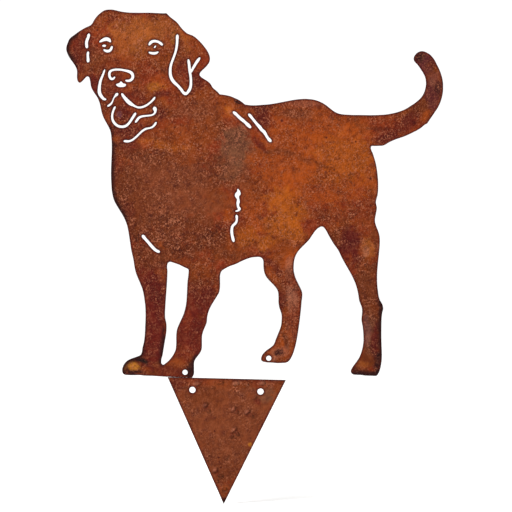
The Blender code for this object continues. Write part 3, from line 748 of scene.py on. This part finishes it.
stake = plate_mesh("stake_plate", "ground_stake", 9.0)
painted(stake, 7.0, [
    ("brown", -2, -52, 70, 80, 0, 0.95), ("umber", -25, -20, 22, 13, 0, 0.6),
    ("red", -34, -5, 22, 5.5, 0, 0.5), ("russet", 10, -9, 11, 4.5, 0, 0.4),
    ("maroon", -58, -9, 8, 11, -30, 0.6), ("olive", 44, -17, 9, 9, 0, 0.75),
    ("russet", 6, -7, 29, 5.5, 0, 0.5), ("red", 34, -7, 8, 4.5, 0, 0.6),
    ("brown", -13, -58, 29, 24, 0, 0.6), ("brown", 12, -74, 18, 13, 0, 0.6),
    # On the lumps, the small salmon spots are painted highlights on their upper left sides, and
    # the oxblood spots painted shade on their lower right
    ("umber", -1, -106, 13, 13, 0, 0.5), ("salmon", -24, -31, 2.5, 1.5, 40, 0.7),
    ("salmon", 6, -35, 2.5, 1.5, 40, 0.7), ("salmon", 21, -38, 2.5, 1.5, 40, 0.7),
    ("salmon", 7, -58, 2.5, 1.5, 40, 0.7), ("salmon", -14, -102, 2.5, 1.5, 40, 0.7),
    ("salmon", -34, -7, 4.5, 2, 10, 0.5), ("salmon", 10, -6, 4.5, 2, 10, 0.6),
    ("salmon", 39, -6, 4.5, 2, 20, 0.6), ("russet", -3, -126, 5.5, 9, 0, 0.6),
    ("oxblood", -22, -33, 4.5, 3.5, 20, 0.4), ("oxblood", 8, -37, 4.5, 3.5, 20, 0.4),
    ("oxblood", 23, -40, 4.5, 3.5, -20, 0.4), ("oxblood", 9, -60, 5.5, 3.5, 20, 0.4),
    ("oxblood", -12, -104, 4.5, 3.5, 30, 0.4), ("oxblood", 34, -26, 4.5, 3.5, 0, 0.7),
    ("gold", 26, -74, 2, 2, 0, 0.9),
], gritty=[
    (0.35, 0, -60, 90, 90, 0, 1), (0.6, 0, -10, 60, 9, 0, 0.9), (0.55, -8, -105, 14, 20, 0, 0.9),
], scorched=[
    (1, -4, -139, 6, 7, 0, 1),
], lumps=[
    (1, -23, -31, 3.5, 2, 45, 1), (1, -20, -37, 2, 1.5, -30, 0.9), (1, 7, -35, 3.5, 2, 45, 1),
    (1, 11, -38, 2, 1.5, 0, 0.8), (1, 22, -38, 3.5, 2, 45, 1), (1, 27, -42, 2.5, 1.5, -40, 0.9),
    (1, 8, -58, 3.5, 2, 45, 1), (1, 12, -62, 2.5, 1.5, -50, 1), (1, 6, -65, 2, 1.5, 30, 0.8),
    (1, -13, -102, 3.5, 2, 40, 1), (1, -7, -108, 2.5, 1.5, -20, 0.9),
    (1, -3, -123, 2.5, 2, 30, 0.9), (1, -11, -114, 2, 1.5, 50, 0.8),
    (1, -31, -7, 3.5, 2, 20, 0.9), (1, -7, -6, 3.5, 1.5, 10, 0.9), (1, 10, -7, 3.5, 1.5, 20, 1),
    (1, 22, -8, 2.5, 1.5, -20, 0.8), (1, 39, -6, 3.5, 2, 10, 0.9),
    (1, 31, -22, 2.5, 1.5, 30, 0.8), (1, -15, -11, 2, 1.5, 0, 0.7),
    (1, 0, -88, 2.5, 1.5, 40, 0.6), (1, -18, -85, 2.5, 1.5, 30, 0.6),
    (1, 16, -79, 2.5, 1.5, -20, 0.6),
])
stake_finish = rusted_steel("rusted_mild_steel_stake", 7.0, ("russet", "brown", "red"))
crusted(stake, crust, stake_finish, {"Seed": 7.0, "Blister height": 0.00038})
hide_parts("ground_stake")
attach(stake, "root")

# The studio: a plain pale floor under the stake's point, a white surround, one soft light
# from the upper left, and the camera square to the plate.

# The floor is this far under the stake's point, in metres, so that the two never touch
FLOOR_GAP = 0.0005

bpy.ops.mesh.primitive_plane_add(size=60.0, location=(0.0, 0.0, cad_box[0][2] - FLOOR_GAP))
floor = bpy.context.object
floor.name = "studio_floor"
pale = bpy.data.materials.new("pale_studio_floor")
pale.use_nodes = True
pale_shader = pale.node_tree.nodes["Principled BSDF"]
pale_shader.inputs["Base Color"].default_value = linear("#FAFAF9")
pale_shader.inputs["Roughness"].default_value = 0.9
floor.data.materials.append(pale)

world = bpy.data.worlds.new("white_studio")
world.use_nodes = True
world.node_tree.nodes["Background"].inputs["Color"].default_value = (1.0, 1.0, 1.0, 1.0)
world.node_tree.nodes["Background"].inputs["Strength"].default_value = 1.08
bpy.context.scene.world = world

soft_box = bpy.data.lights.new("soft_box", "AREA")
soft_box.size = 0.7
soft_box.energy = 75.0
soft_box_stand = bpy.data.objects.new("soft_box", soft_box)
soft_box_stand.location = (-1.5, -1.05, 1.65)
plate_middle = Vector((0.03, 0.0, 0.15))
aim = plate_middle - soft_box_stand.location
soft_box_stand.rotation_euler = aim.to_track_quat("-Z", "Y").to_euler()
bpy.context.scene.collection.objects.link(soft_box_stand)

# What the photo shows of the plate's front, in metres: its width, and its middle in X and Z
PHOTO_WIDTH = 0.56348
PHOTO_CENTRE = (0.03219, 0.13383)
lens = bpy.data.cameras.new("front_camera")
lens.lens = 135.0
lens.sensor_width = 36.0
camera = bpy.data.objects.new("front_camera", lens)
distance = PHOTO_WIDTH * lens.lens / lens.sensor_width
camera.location = (PHOTO_CENTRE[0], -distance - HALF_SHEET * MM, PHOTO_CENTRE[1])
camera.rotation_euler = (math.pi / 2, 0.0, 0.0)
bpy.context.scene.collection.objects.link(camera)
bpy.context.scene.camera = camera
bpy.context.scene.view_settings.view_transform = "Standard"
